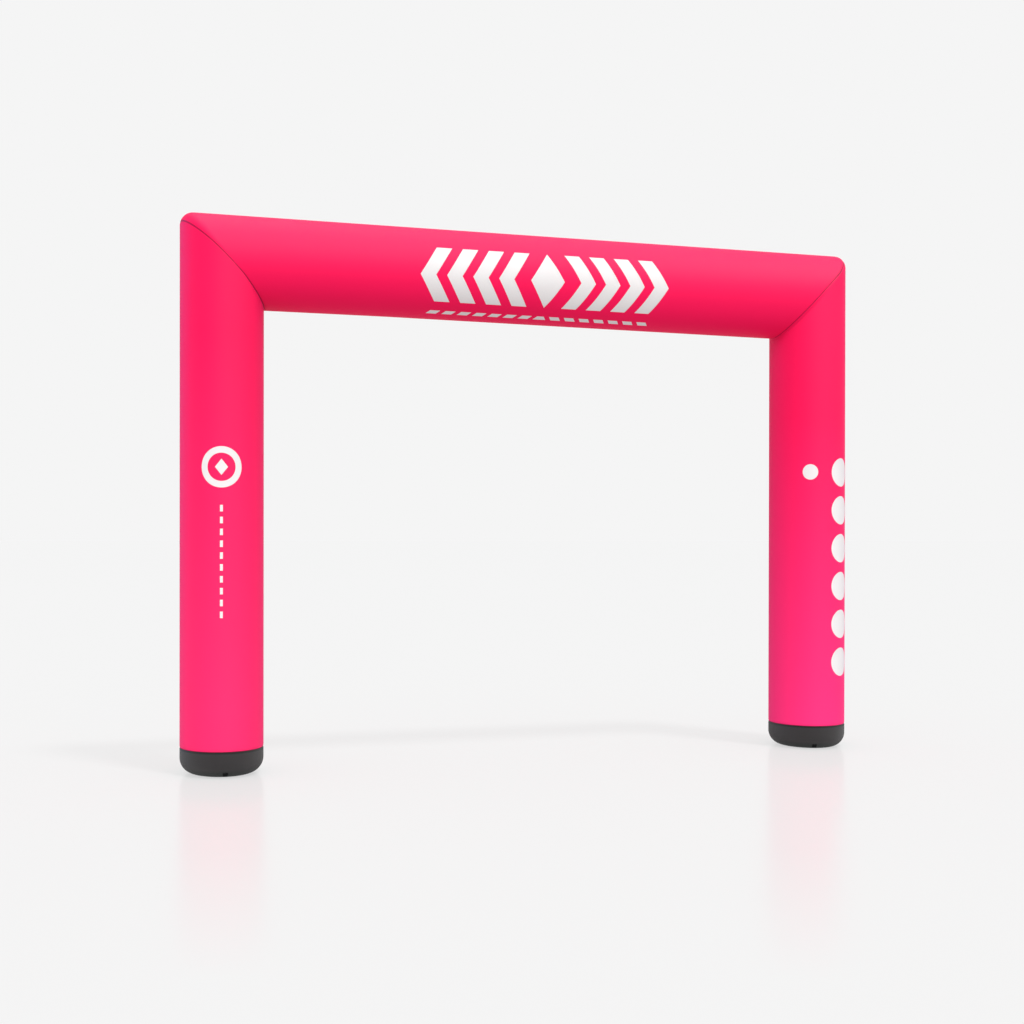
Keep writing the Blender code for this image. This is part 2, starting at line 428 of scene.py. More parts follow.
def stitch_row_tree(name, surface, surface_inputs, swept, still):
    """A row of stitches on a surface. What is swept runs from a first to a last value."""
    ends = {end + label: 0.0 for label in swept for end in ("First ", "Last ")}
    own = from_sizes("stitch_length", "thread") | {"Count": 100, "Lift": 0.0, "Material": None}
    graph, w = open_tree(name, surface_inputs | ends | {still: 0.0} | own, {"Geometry": SHAPE})
    here_share = (graph.wire("GeometryNodeInputIndex") + 0.5) / w["Count"]
    spots = []
    for share in (here_share, here_share + 0.1 / w["Count"]):
        feeds = {label: w[label] for label in (*surface_inputs, still, "Lift")}
        for label in swept:
            feeds[label] = w["First " + label] + (w["Last " + label] - w["First " + label]) * share
        spots.append(graph.group(surface, feeds))
    here, ahead = spots
    pair = {0: ahead["Position"], 1: here["Position"]}
    run = graph.wire("ShaderNodeVectorMath", pair, operation="SUBTRACT")
    turned = graph.wire("FunctionNodeAlignRotationToVector", {"Vector": run}, axis="X")
    feeds = {"Rotation": turned, "Vector": here["Normal"]}
    turned = graph.wire("FunctionNodeAlignRotationToVector", feeds, axis="Z", pivot_axis="X")
    points = graph.wire("GeometryNodePoints", {"Count": w["Count"]})
    points = graph.wire("GeometryNodeSetPosition", {"Geometry": points, "Position": here["Position"]})

    # A stitch is a plump little ball, long in X
    ball = graph.wire("GeometryNodeMeshUVSphere", {"Segments": 6, "Rings": 4, "Radius": 0.5})
    size = graph.vector(w["Stitch Length"], w["Thread"], w["Thread"])
    stitch = graph.wire("GeometryNodeTransform", {"Geometry": ball, "Scale": size})
    feeds = {"Points": points, "Instance": stitch, "Rotation": turned}
    return finish_shape(graph, graph.wire("GeometryNodeInstanceOnPoints", feeds), w["Material"])


def squarer(graph, wave, power):
    """A wave between -1 and 1 with squarer shoulders."""
    return graph.math("SIGN", wave) * graph.abs(wave) ** power


# Powers that square a tab's oval shape: at its ends, across it, in its thickness and along it
SQUARE_ENDS, SQUARE_ACROSS, SQUARE_RISE, SQUARE_ALONG = 0.25, 0.35, 0.8, 0.6

# Part of its width by which a tab narrows at its ends
TAB_NARROWING = 0.1


def tab_tree(name, surface):
    """A short webbing tab that lies on a foot's rounded edge, closed and soft-edged all round."""
    foot = foot_values(1.0)
    own = {"Turn": FRONT, "Half Turn": 0.07, "Material": None}
    graph, w = open_tree(name, foot | tab_values() | own, {"Geometry": SHAPE})
    grid, step_down, step_round = flat_sheet(graph, w)

    # A flat oval section with square shoulders, which closes quickly at both ends
    section, run = step_round * math.tau, step_down * math.pi
    ends = squarer(graph, graph.sin(run), SQUARE_ENDS)
    across = squarer(graph, graph.cos(section), SQUARE_ACROSS)
    rise = squarer(graph, graph.sin(section), SQUARE_RISE) * ends
    middle = (w["Low Profile"] + w["High Profile"]) * 0.5
    half_run = (w["Low Profile"] - w["High Profile"]) * 0.5
    feeds = {label: w[label] for label in foot}
    feeds["Ripple Height"] = 0.0
    width = 1.0 - TAB_NARROWING + TAB_NARROWING * ends
    feeds["Turn"] = w["Turn"] + w["Half Turn"] * across * width
    feeds["Profile"] = middle - half_run * squarer(graph, graph.cos(run), SQUARE_ALONG)
    feeds["Lift"] = w["Gap"] + w["Thickness"] * 0.5 * (1.0 + rise)
    tab = graph.group(surface, feeds)
    return lay_sheet(graph, grid, tab["Position"], w["Material"], tab["Flat"])


def shared_tree(name, build, *needs):
    """A node group by name, built the first time that it is asked for."""
    return bpy.data.node_groups.get(name) or build(name, *needs)


def tube_surface():
    """The surface that all trees about the tubes share."""
    return shared_tree("Tube Surface", tube_surface_tree)


def foot_surface():
    """The surface that all trees about the feet share."""
    return shared_tree("Foot Surface", foot_surface_tree)


def made_mesh(name, tree, values):
    """The plain mesh that a geometry tree gives with these values for its named inputs."""
    holder = bpy.data.objects.new(name, bpy.data.meshes.new(name))
    bpy.context.scene.collection.objects.link(holder)
    modifier = holder.modifiers.new("Shape", "NODES")
    modifier.node_group = tree
    sockets = {s.name: s.identifier for s in tree.interface.items_tree if s.in_out == "INPUT"}
    for label, value in values.items():
        modifier[sockets[label]] = value
    bpy.context.view_layer.update()
    evaluated = holder.evaluated_get(bpy.context.evaluated_depsgraph_get())
    mesh = bpy.data.meshes.new_from_object(evaluated)
    bpy.data.objects.remove(holder)

    # The tree's mesh has an empty first slot, so the material gets that place
    mesh.materials.clear()
    mesh.materials.append(values["Material"])
    mesh.polygons.foreach_set("material_index", [0] * len(mesh.polygons))
    return mesh


def close_and_face_out(mesh):
    """Close a cloth tube's open ends with flat caps and turn its faces outwards."""
    shell = bmesh.new()
    shell.from_mesh(mesh)
    rim = [edge for edge in shell.edges if edge.is_boundary]
    if rim:
        for cap in bmesh.ops.holes_fill(shell, edges=rim, sides=0)["faces"]:
            cap.smooth = False
        for edge in rim:
            edge.smooth = False
    if shell.calc_volume(signed=True) < 0:
        bmesh.ops.reverse_faces(shell, faces=shell.faces[:])
    shell.to_mesh(mesh)
    shell.free()


def place_piece(name, mesh, nodes=()):
    """Put a finished mesh in the scene as one piece that rides on the frame."""
    mesh.name = name
    piece = bpy.data.objects.new(name, mesh)
    bpy.context.scene.collection.objects.link(piece)
    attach(piece, ROOT)
    if nodes:
        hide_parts(*nodes)
    return piece


def place_rows(name, rows):
    """Put rows of stitches in the scene as one piece."""
    shell = bmesh.new()
    for row in rows:
        shell.from_mesh(row)
    joined = bpy.data.meshes.new(name)
    shell.to_mesh(joined)
    shell.free()
    joined.materials.append(rows[0].materials[0])
    for row in rows:
        bpy.data.meshes.remove(row)
    place_piece(name, joined)


def new_material(name):
    """(material, its graph, its Principled shader)."""
    material = bpy.data.materials.new(name)
    material.use_nodes = True
    return material, Graph(material.node_tree), material.node_tree.nodes["Principled BSDF"]


def set_plain(shader, values):
    """Set what is the same all over a surface, on the shader's own sockets."""
    for label, value in values.items():
        shader.inputs[label].default_value = value


def mix_colour(graph, factor, first, second):
    """Blend two colours by a mask."""
    return graph.wire("ShaderNodeMix", {0: factor, 6: first, 7: second}, output=2, data_type="RGBA")


def woven_tree(name):
    """Plain weave: threads that pass over and under each other."""
    inputs = {"Across": 0.0, "Along": 0.0, "Pitch": 0.001, "Slub": 0.2}
    graph, w = open_tree(name, inputs, {"Height": FLOAT, "Gap": FLOAT}, "ShaderNodeTree")
    u, v = w["Across"] / w["Pitch"], w["Along"] / w["Pitch"]
    cells = graph.floor(u) + graph.floor(v)
    over = graph.math("FLOORED_MODULO", cells, 2.0)
    bump_u = graph.sin(graph.fraction(u) * math.pi)
    bump_v = graph.sin(graph.fraction(v) * math.pi)
    warp = bump_u * (0.55 + 0.45 * bump_v)
    weft = bump_v * (0.55 + 0.45 * bump_u)
    height = warp * over + weft * (1.0 - over)
    slub = graph.noise(graph.vector(u * 0.02, v * 0.4, 0.0), 1.0, 2.0)
    graph.give({"Height": height * (1.0 - w["Slub"] * slub), "Gap": graph.unit(1.0 - height * 1.6)})
    return graph.tree


def woven_cloth(graph, pitch, slub):
    """A piece's flat coordinates in metres, and the plain weave on them."""
    x, y, _ = graph.parts(graph.wire("ShaderNodeUVMap", uv_map=UV_NAME))
    feeds = {"Across": x, "Along": y, "Pitch": pitch, "Slub": slub}
    return x, y, graph.group(shared_tree("Plain Weave", woven_tree), feeds)


def raise_threads(graph, shader, height, strength, depth):
    """Relief of the weave."""
    bump = graph.wire("ShaderNodeBump", {"Strength": strength, "Distance": depth, "Height": height})
    graph.feed(shader.inputs["Normal"], bump)


# Noise scales: slow unevenness of the dye, its grain, dust on the feet, twist of the thread
CLOUDS, GRAIN, DUST, TWIST = 2.5, 60.0, 7.0, 900.0

# Strength and depth of the weave on the feet and the tabs, and its pitch on the tabs
FOOT_RELIEF, WEBBING_RELIEF = (0.5, 0.0002), (0.7, 0.0004)
WEBBING_PITCH = 0.0016

# Lighter and darker tone of the tabs and of the dark thread
WEBBING_TONES = (0.008, 0.009, 0.009, 1.0), (0.003, 0.003, 0.003, 1.0)
DARK_TONES = (0.012, 0.012, 0.012, 1.0), (0.006, 0.006, 0.006, 1.0)

# Part of a seam's painted shade line over which it fades out, and of the height of the painted shade near
# the ground over which it does
SEAM_EDGE = 0.4
GROUND_SHADE_EDGE = 0.7


def seam_fold_shade(graph, line):
    """Painted shade in the fold of a seam: 1 in the fold, fading out at the edge of its dark line."""
    seam = graph.wire("ShaderNodeAttribute", output=2, attribute_name=SEAM_NAME)
    return graph.unit((line - seam) / (line * SEAM_EDGE))


# Width of a printed edge, in metres
PRINT_EDGE = 0.0012

# Height of the ring's diamond against its width, and the slant of the dashes
GEM_HEIGHT = 1.25
DASH_SLANT = 0.6


def soft_inside(graph, distance):
    """1 inside an outline and 0 outside, from a distance that is negative inside."""
    return graph.math("SUBTRACT", 0.5, distance / PRINT_EDGE, clamp=True)


def box_mask(graph, x, y, half_x, half_y):
    """A crisp rectangle round the middle."""
    return soft_inside(graph, graph.most(graph.abs(x) - half_x, graph.abs(y) - half_y))


def disc_mask(graph, x, y, radius):
    """A crisp disc round the middle."""
    return soft_inside(graph, graph.root(x * x + y * y) - radius)


def diamond_mask(graph, x, y, half_x, half_y):
    """A crisp diamond round the middle."""
    reach = graph.abs(x) / half_x + graph.abs(y) / half_y - 1.0
    return soft_inside(graph, reach * min(half_x, half_y))


def repeated(graph, run, pitch):
    """A run that starts again at 0 after each pitch."""
    return graph.fraction(run / pitch) * pitch


def beam_print(graph, x, y, p):
    """Chevrons that point outwards from a diamond, over a slim line of dashes."""
    side, up = graph.abs(x - p.beam_centre_x), y - p.beam_centre_up
    run = side + graph.abs(up) * p.chevron_slope - p.chevron_start
    in_bar = graph.abs(repeated(graph, run, p.chevron_pitch) - p.chevron_bar / 2) - p.chevron_bar / 2
    row_length = p.chevron_pitch * p.chevron_count - (p.chevron_pitch - p.chevron_bar) / 2
    limits = graph.most(-run - p.chevron_bar / 2, run - row_length)
    row = soft_inside(graph, in_bar) * soft_inside(graph, limits)
    row = row * soft_inside(graph, graph.abs(up) - p.chevron_half_height)
    diamond = diamond_mask(graph, side, up, p.diamond_half_length, p.chevron_half_height)
    low = y - p.dash_up
    dash = graph.fraction((side + low * DASH_SLANT) / p.dash_pitch + 0.5) * p.dash_pitch - p.dash_pitch / 2
    dashes = box_mask(graph, dash, low, p.dash_length / 2, p.dash_half_height)
    dashes = dashes * soft_inside(graph, side - p.dash_pitch * p.dash_count)
    return graph.most(graph.most(row, diamond), dashes)


def left_leg_print(graph, x, y, p):
    """A ring round a diamond, over a column of short bars."""
    across, up = x - p.ring_x, y - p.ring_z
    hole = disc_mask(graph, across, up, p.ring_radius - p.ring_bar)
    ring = disc_mask(graph, across, up, p.ring_radius) - hole
    gem = diamond_mask(graph, across, up, p.gem_half, p.gem_half * GEM_HEIGHT)
    place = repeated(graph, p.bars_top - y, p.bars_pitch) - p.bars_pitch / 2
    bars = box_mask(graph, across, place, p.bars_half_width, p.bars_length / 2)
    column_low = p.bars_top - p.bars_pitch * p.bars_count
    bars = bars * soft_inside(graph, graph.most(y - p.bars_top, column_low - y))
    return graph.most(graph.most(ring, gem), bars)


def right_leg_print(graph, x, y, p):
    """A column of big dots towards the outside and one dot beside the first."""
    steps = graph.math("ROUND", (p.dots_top - y) / p.dots_pitch)
    steps = graph.least(graph.most(steps, 0.0), p.dots_count - 1.0)
    column = disc_mask(graph, x - p.dots_x, y - (p.dots_top - steps * p.dots_pitch), p.dots_radius)
    return graph.most(column, disc_mask(graph, x - p.single_x, y - p.dots_top, p.single_radius))


def tube_cloth(name, print_of, painted_bounce_colour, painted_bounce_from, sheen):
    """Printed, lightly coated polyester for one tube, with painted light: paler near the ground, where the
    floor throws light up.
    """
    finish = bpy.context.scene.arch_finish
    material, graph, shader = new_material(name)
    x, y, weave = woven_cloth(graph, finish.weave_pitch, 0.3)
    mask = print_of(graph, x, y, bpy.context.scene.arch_print)

    # Slow unevenness in the dye, and painted shade in the fold of each seam
    spot = graph.wire("ShaderNodeTexCoord", output=3)
    cloudy = graph.noise(spot, CLOUDS, 3.0)
    # Painted light: the cloth turns paler and pinker towards the ground, standing in for light that the
    # floor throws up
    painted_bounce_share = graph.math("DIVIDE", painted_bounce_from - graph.parts(spot)[2], finish.painted_bounce_reach, clamp=True)
    cloth_with_painted_bounce = mix_colour(graph, painted_bounce_share, finish.cloth_colour, painted_bounce_colour)
    deep_with_painted_bounce = mix_colour(graph, painted_bounce_share, finish.cloth_deep, painted_bounce_colour)
    dyed = mix_colour(graph, graph.unit(cloudy * 0.5 + weave["Gap"] * 0.25), cloth_with_painted_bounce, deep_with_painted_bounce)
    inked = mix_colour(graph, mask * (1.0 - weave["Gap"] * 0.12), dyed, finish.ink_colour)
    # Painted shade: a dark line in the fold of the mitre seam
    fold = seam_fold_shade(graph, finish.seam_line) * finish.seam_shade_strength
    graph.feed(shader.inputs["Base Color"], mix_colour(graph, fold, inked, finish.seam_shade_colour))

    fine = graph.noise(spot, GRAIN, 3.0)
    rough = finish.cloth_roughness + (fine - 0.5) * 0.08 - mask * 0.04 + weave["Gap"] * 0.06
    graph.feed(shader.inputs["Roughness"], rough)
    relief = weave["Height"] * (1.0 - mask * 0.4)
    raise_threads(graph, shader, relief, finish.weave_strength, finish.weave_depth)
    set_plain(shader, {"IOR": finish.cloth_ior, "Sheen Weight": sheen, "Sheen Roughness": 0.45})
    set_plain(shader, {"Sheen Tint": finish.sheen_tint})
    return material


def foot_cloth():
    """Heavy charcoal coated cloth with a pebbled face, with painted shade that darkens it near the ground.
    """
    finish = bpy.context.scene.arch_finish
    material, graph, shader = new_material("charcoal_coated_cloth")
    _, _, weave = woven_cloth(graph, finish.foot_pitch, 0.4)
    spot = graph.wire("ShaderNodeTexCoord", output=3)
    dust = graph.noise(spot, DUST, 5.0)
    # Painted shade: the foot turns darker near the ground, where shade falls
    ground_shade_top = finish.ground_shade_height
    low = graph.math("DIVIDE", ground_shade_top - graph.parts(spot)[2], ground_shade_top * GROUND_SHADE_EDGE, clamp=True)
    tone = graph.unit(dust * 0.6 + weave["Gap"] * 0.3)
    plain = mix_colour(graph, tone, finish.foot_colour, finish.foot_deep)
    ground_shaded = mix_colour(graph, low, plain, finish.ground_shade_colour)
    # Painted shade: a dark line in the fold of the seam above the foot
    fold = seam_fold_shade(graph, finish.foot_seam_line)
    graph.feed(shader.inputs["Base Color"], mix_colour(graph, fold, ground_shaded, finish.foot_seam_shade_colour))
    graph.feed(shader.inputs["Roughness"], 0.6 + (dust - 0.5) * 0.14)
    raise_threads(graph, shader, weave["Height"], *FOOT_RELIEF)
    set_plain(shader, {"IOR": 1.06, "Sheen Weight": 0.11, "Sheen Roughness": 0.7})
    return material


def webbing():
    """Black webbing: ribs across the tape and a rough, dry face."""
    material, graph, shader = new_material("black_webbing")
    _, _, weave = woven_cloth(graph, WEBBING_PITCH, 0.2)
    graph.feed(shader.inputs["Base Color"], mix_colour(graph, weave["Gap"], *WEBBING_TONES))
    graph.feed(shader.inputs["Roughness"], 0.7 + weave["Gap"] * 0.15)
    raise_threads(graph, shader, weave["Height"], *WEBBING_RELIEF)
    set_plain(shader, {"IOR": 1.1})
    return material


def thread(name, light, dark):
    """Twisted sewing thread, made the first time that it is asked for."""
    if name in bpy.data.materials:
        return bpy.data.materials[name]
    material, graph, shader = new_material(name)
    twist = graph.noise(graph.wire("ShaderNodeTexCoord", output=3), TWIST, 1.0)
    graph.feed(shader.inputs["Base Color"], mix_colour(graph, twist, light, dark))
    graph.feed(shader.inputs["Roughness"], 0.6 + twist * 0.2)
    set_plain(shader, {"IOR": 1.12})
    return material


def from_sizes(*names):
    """Sizes under the names of the trees' inputs."""
    sizes = bpy.context.scene.arch_sizes
    return {name.replace("_", " ").title(): getattr(sizes, name) for name in names}


# How far each seam runs from the true mitre towards the leg, the turn at which it is furthest off,
# and how fast it comes back
SEAM_SHIFTS = {-1.0: (0.034, 0.0, 0.8), 1.0: (-0.028, math.radians(125), 1.4)}


def seam_shift(side, way):
    """The shift inputs of a corner: way is 1 for its leg and -1 for its end of the beam."""
    most, peak, spread = SEAM_SHIFTS[side]
    return dict(zip(SHIFT_NAMES, (most * way, peak, spread)))


def tube_values(side, upright):
    """The tube inputs of one leg, or of one half of the beam, which starts in its middle."""
    leg, beam = (LEG_AXIS_X, LEG_HALF_WIDTH), (BEAM_AXIS_Z, HALF_DEPTH)
    own, far = (leg, beam) if upright else (beam, leg)
    corners = from_sizes("corner_round", "corner_round_inside", "corner_fade", "outer_pull")
    gathers = from_sizes("seam_dip", "seam_spread", "pucker_height", "pucker_spacing", "pucker_reach")
    fuller = from_sizes("fullness", "full_from", "full_to", "full_reach_down")
    return corners | gathers | fuller | seam_shift(side, 1.0 if upright else -1.0) | {
        "Upright": upright,
        "Side": side,
        "Cross Centre": own[0],
        "Cross Half": own[1],
        "Far Centre": far[0],
        "Far Half": far[1],
        "Half Depth": HALF_DEPTH,
        "Beam Axis": BEAM_AXIS_Z,
        "Arc End": mitre_arc_end(own[1], far[1]),
        "Start": FOOT_TOP if upright else 0.0,
        "Start Dip": bpy.context.scene.arch_sizes.foot_seam_dip if upright else 0.0,
        "Seed": 3.0 + side if upright else 9.0,
    }


def foot_values(side):
    """The inputs of one foot."""
    sizes = bpy.context.scene.arch_sizes
    return from_sizes("seam_spread") | {
        "Side": side,
        "Axis X": LEG_AXIS_X,
        "Half Width": LEG_HALF_WIDTH,
        "Half Depth": HALF_DEPTH,
        "Height": FOOT_TOP,
        "Edge Round": sizes.foot_edge_round,
        "Seam Dip": sizes.foot_seam_dip,
        "Ripple Height": sizes.foot_ripple,
    }


# Stretch of a foot's rounded edge on which a tab lies, as places of the foot's profile
TAB_LOW, TAB_HIGH = 1 + 68 / 90, 1 + 40 / 90


def tab_values():
    """The inputs that both tabs share."""
    thickness = bpy.context.scene.arch_sizes.tab_thickness
    shape = {"Low Profile": TAB_LOW, "High Profile": TAB_HIGH, "Thickness": thickness}
    return TAB_GRID | shape | {"Gap": SOLID_GAP}


def padded_piece(name, tree, values, node):
    """A cloth shell as a filled piece that stands for its node."""
    mesh = made_mesh(name, tree, values)
    close_and_face_out(mesh)
    piece = place_piece(name, mesh, [node])


def make_tube(name, values, cloth, rings, node):
    """One cloth tube."""
    tree = shared_tree("Air Tube", air_tube_tree, tube_surface())
    grid = from_sizes("sides") | {"Rings": rings, "Crowding": RING_CROWDING}
    padded_piece(name, tree, values | grid | {"Material": cloth}, node)


def stitch_row(tree, values, ends, count, material):
    """One row of stitches. ends gives the first and last value of what is swept along it."""
    own = from_sizes("stitch_length", "thread") | {"Count": count, "Material": material}
    for label, (first, last) in ends.items():
        own["First " + label] = first
        own["Last " + label] = last
    return made_mesh("row", tree, values | own)


def tube_row(values, turns, shares, distance, count):
    """One row of stitches on a tube."""
    finish = bpy.context.scene.arch_finish
    needs = (tube_surface(), tube_values(1.0, True), ("Turn", "Share"), "Distance")
    tree = shared_tree("Tube Stitches", stitch_row_tree, *needs)
    pink = thread("pink_thread", finish.thread_colour, finish.cloth_deep)
    values = values | {"Distance": distance, "Lift": 0.0}
    return stitch_row(tree, values, {"Turn": turns, "Share": shares}, count, pink)


def foot_row(values, turns, profile, count, lift):
    """One row of stitches on a foot, all at one place of its profile."""
    needs = (foot_surface(), foot_values(1.0), ("Turn",), "Profile")
    tree = shared_tree("Foot Stitches", stitch_row_tree, *needs)
    dark = thread("dark_thread", *DARK_TONES)
    return stitch_row(tree, values | {"Profile": profile, "Lift": lift}, {"Turn": turns}, count, dark)


def metres(label, words, default):
    """A length that a user would change."""
    return FloatProperty(name=label, description=words, default=default, unit="LENGTH")


def degrees(label, words, default):
    """An angle that a user would change."""
    return FloatProperty(name=label, description=words, default=math.radians(default), subtype="ANGLE")


def number(label, words, default):
    """A plain number that a user would change."""
    return FloatProperty(name=label, description=words, default=default)


def whole(label, words, default):
    """A count that a user would change."""
    return IntProperty(name=label, description=words, default=default, min=1)


def colour(label, words, *shade):
    """A colour that a user would change, from its red, green and blue."""
    kind = {"size": 4, "subtype": "COLOR", "min": 0.0, "max": 1.0}
    return FloatVectorProperty(name=label, description=words, default=(*shade, 1.0), **kind)


class ArchSizes(bpy.types.PropertyGroup):
    """Sizes of the cloth and its sewing."""

    corner_round: metres("Corner Round", "Rounding on the outside of each corner", 0.064)
    corner_round_inside: metres("Inner Corner Round", "Rounding on the inside of each corner", 0.004)
    corner_fade: number("Corner Fade", "How fast the rounding dies away round the tube", 1.6)
    seam_dip: metres("Seam Dip", "How far the cloth sinks at a mitre", 0.0015)
    seam_spread: metres("Seam Spread", "Reach of the dip beside a seam", 0.004)
    foot_seam_dip: metres("Foot Seam Dip", "How far the cloth sinks above a foot", 0.003)
    pucker_height: metres("Pucker Height", "Height of the gathers beside a seam", 0.0006)
    pucker_spacing: metres("Pucker Spacing", "Distance between gathers", 0.03)
    pucker_reach: metres("Pucker Reach", "How far gathers run from a seam", 0.045)
    outer_pull: number("Outer Pull", "How much wider a mitre's seam opens on the outside", 0.5)
    fullness: metres("Fullness", "How far the beam's underside hangs lower at its right end", 0.0186)
    full_from: metres("Full From", "Place along the beam where it starts to fill out", -0.85)
    full_to: metres("Full To", "Place along the beam where it is fullest", 1.5)
    full_reach_down: metres("Full Reach Down", "Stretch of the leg over which that dies away", 0.7)
    foot_edge_round: metres("Foot Edge Round", "Rounding of a foot's lower edge", 0.085)
    foot_ripple: metres("Foot Ripple", "Unevenness of a foot's edge", 0.0007)
    stitch_length: metres("Stitch Length", "Length of one stitch", 0.006)
    stitch_pitch: metres("Stitch Pitch", "Distance from stitch to stitch", 0.0085)
    thread: metres("Thread", "Thickness of the thread", 0.0009)
    row_offset: metres("Row Offset", "Distance of a stitch row from its seam", 0.009)
    tab_width: metres("Tab Width", "Width of a webbing tab", 0.03)
    tab_thickness: metres("Tab Thickness", "Thickness of a webbing tab", 0.0025)
    sides: whole("Sides", "Faces round a tube", 160)
    leg_rings: whole("Leg Rings", "Faces along a leg", 150)
    beam_rings: whole("Beam Rings", "Faces along the beam", 220)


class ArchPrint(bpy.types.PropertyGroup):
    """Places and sizes of the printed shapes, in metres on the flat cloth."""

    beam_centre_x: metres("Beam Print X", "Middle of the beam's print along the beam", 0.0)
    beam_centre_up: metres("Beam Print Up", "Middle of the beam's print above its front line", -0.045)
    chevron_half_height: metres("Chevron Half Height", "Half the height of the chevron row", 0.155)
    chevron_start: metres("Chevron Start", "Distance of the first chevron from the middle", 0.2)
    chevron_pitch: metres("Chevron Pitch", "Distance from chevron to chevron", 0.15)
    chevron_bar: metres("Chevron Bar", "Thickness of a chevron along the beam", 0.088)
    chevron_slope: number("Chevron Slope", "How pointed the chevrons are", 0.62)
    chevron_count: whole("Chevrons", "Chevrons on each side of the middle", 4)
    diamond_half_length: metres("Diamond Half Length", "Half the length of the middle diamond", 0.1)
    dash_up: metres("Dash Line Up", "Height of the line of dashes above the front line", -0.285)
    dash_pitch: metres("Dash Pitch", "Distance from dash to dash", 0.09)
    dash_length: metres("Dash Length", "Length of a dash", 0.058)
    dash_half_height: metres("Dash Half Height", "Half the height of a dash", 0.016)
    dash_count: number("Dashes", "Dashes on each side of the middle", 7.5)
    ring_x: metres("Ring X", "Middle of the leg's ring across the leg", -0.035)
    ring_z: metres("Ring Height", "Height of the leg's ring", 1.635)
    ring_radius: metres("Ring Radius", "Outer radius of the leg's ring", 0.108)
    ring_bar: metres("Ring Bar", "Thickness of the leg's ring", 0.034)
    gem_half: metres("Gem Half", "Half the width of the diamond in the ring", 0.034)
    bars_top: metres("Bars Top", "Height of the top of the column of bars", 1.45)
    bars_pitch: metres("Bars Pitch", "Distance from bar to bar", 0.062)
    bars_length: metres("Bars Length", "Length of one bar", 0.034)
    bars_half_width: metres("Bars Half Width", "Half the width of a bar", 0.0075)
    bars_count: whole("Bars", "Bars in the column", 10)
    dots_x: metres("Dots X", "Middle of the column of dots across the leg", 0.114)
    dots_top: metres("Dots Top", "Height of the first dot", 1.662)
    dots_pitch: metres("Dots Pitch", "Distance from dot to dot", 0.228)
    dots_radius: metres("Dots Radius", "Radius of a dot", 0.085)
    dots_count: whole("Dots", "Dots in the column", 6)
    single_x: metres("Single Dot X", "Middle of the lone dot across the leg", -0.106)
    single_radius: metres("Single Dot Radius", "Radius of the lone dot", 0.046)


class ArchFinish(bpy.types.PropertyGroup):
    """Colours and finishes."""

    cloth_colour: colour("Cloth", "Main colour of the tubes", 0.72, 0.0062, 0.072)
    cloth_deep: colour("Cloth Shade", "Deeper tone between the threads", 0.69, 0.0055, 0.067)
    # Painted light: the legs turn paler and pinker towards the ground, standing in for light that the floor
    # throws up
    low_left_painted_bounce: colour("Left Leg Low", "Colour low on the left leg", 0.77, 0.0205, 0.113)
    low_right_painted_bounce: colour("Right Leg Low", "Colour low on the right leg", 0.77, 0.0255, 0.152)
    painted_bounce_left_from: metres("Left Fade Start", "Height at which the left leg starts to pale", 2.35)
    painted_bounce_right_from: metres("Right Fade Start", "Height at which the right leg starts to pale", 2.0)
    painted_bounce_reach: metres("Fade Reach", "Height over which a leg turns paler", 2.0)
    ink_colour: colour("Ink", "Colour of the print", 0.58, 0.58, 0.58)
    # Painted shade: colour of the dark line in the fold of each mitre
    seam_shade_colour: colour("Seam Fold", "Colour deep in a seam", 0.2, 0.004, 0.03)
    thread_colour: colour("Thread", "Colour of the sewing thread", 0.5, 0.004, 0.045)
    foot_colour: colour("Foot", "Main colour of the feet", 0.021, 0.0187, 0.0194)
    foot_deep: colour("Foot Shade", "Deeper tone of the feet", 0.0178, 0.0158, 0.0165)
    # Painted shade: colour of the dark line in the fold above each foot
    foot_seam_shade_colour: colour("Foot Seam Fold", "Colour deep in a foot's seam", 0.004, 0.005, 0.0045)
    # Painted shade where a foot meets the ground
    ground_shade_colour: colour("Sole", "Colour of a foot near the ground", 0.001, 0.005, 0.0035)
    ground_shade_height: metres("Sole Height", "Height at which a foot starts to turn darker", 0.045)
    cloth_roughness: number("Cloth Roughness", "Roughness of the tubes", 0.56)
    cloth_ior: number("Cloth IOR", "Strength of the cloth's gloss", 1.12)
    leg_sheen: number("Leg Sheen", "Soft edge glow of the legs", 0.05)
    beam_sheen: number("Beam Sheen", "Soft edge glow of the beam", 0.0)
    sheen_tint: colour("Sheen Tint", "Colour of the edge glow", 0.6, 0.12, 1.0)
    seam_line: metres("Seam Line", "Width of the dark line in a mitre", 0.0036)
    foot_seam_line: metres("Foot Seam Line", "Width of the dark line above a foot", 0.011)
    # Strength of the painted shade in a mitre's fold
    seam_shade_strength: number("Seam Darkness", "Strength of the dark line in a mitre", 0.85)
    weave_pitch: metres("Weave Pitch", "Thread spacing of the tubes", 0.001)
    weave_depth: metres("Weave Depth", "Depth of the weave", 0.00012)
    weave_strength: number("Weave Strength", "Strength of the weave's relief", 0.35)
    foot_pitch: metres("Foot Weave Pitch", "Thread spacing of the feet", 0.0014)


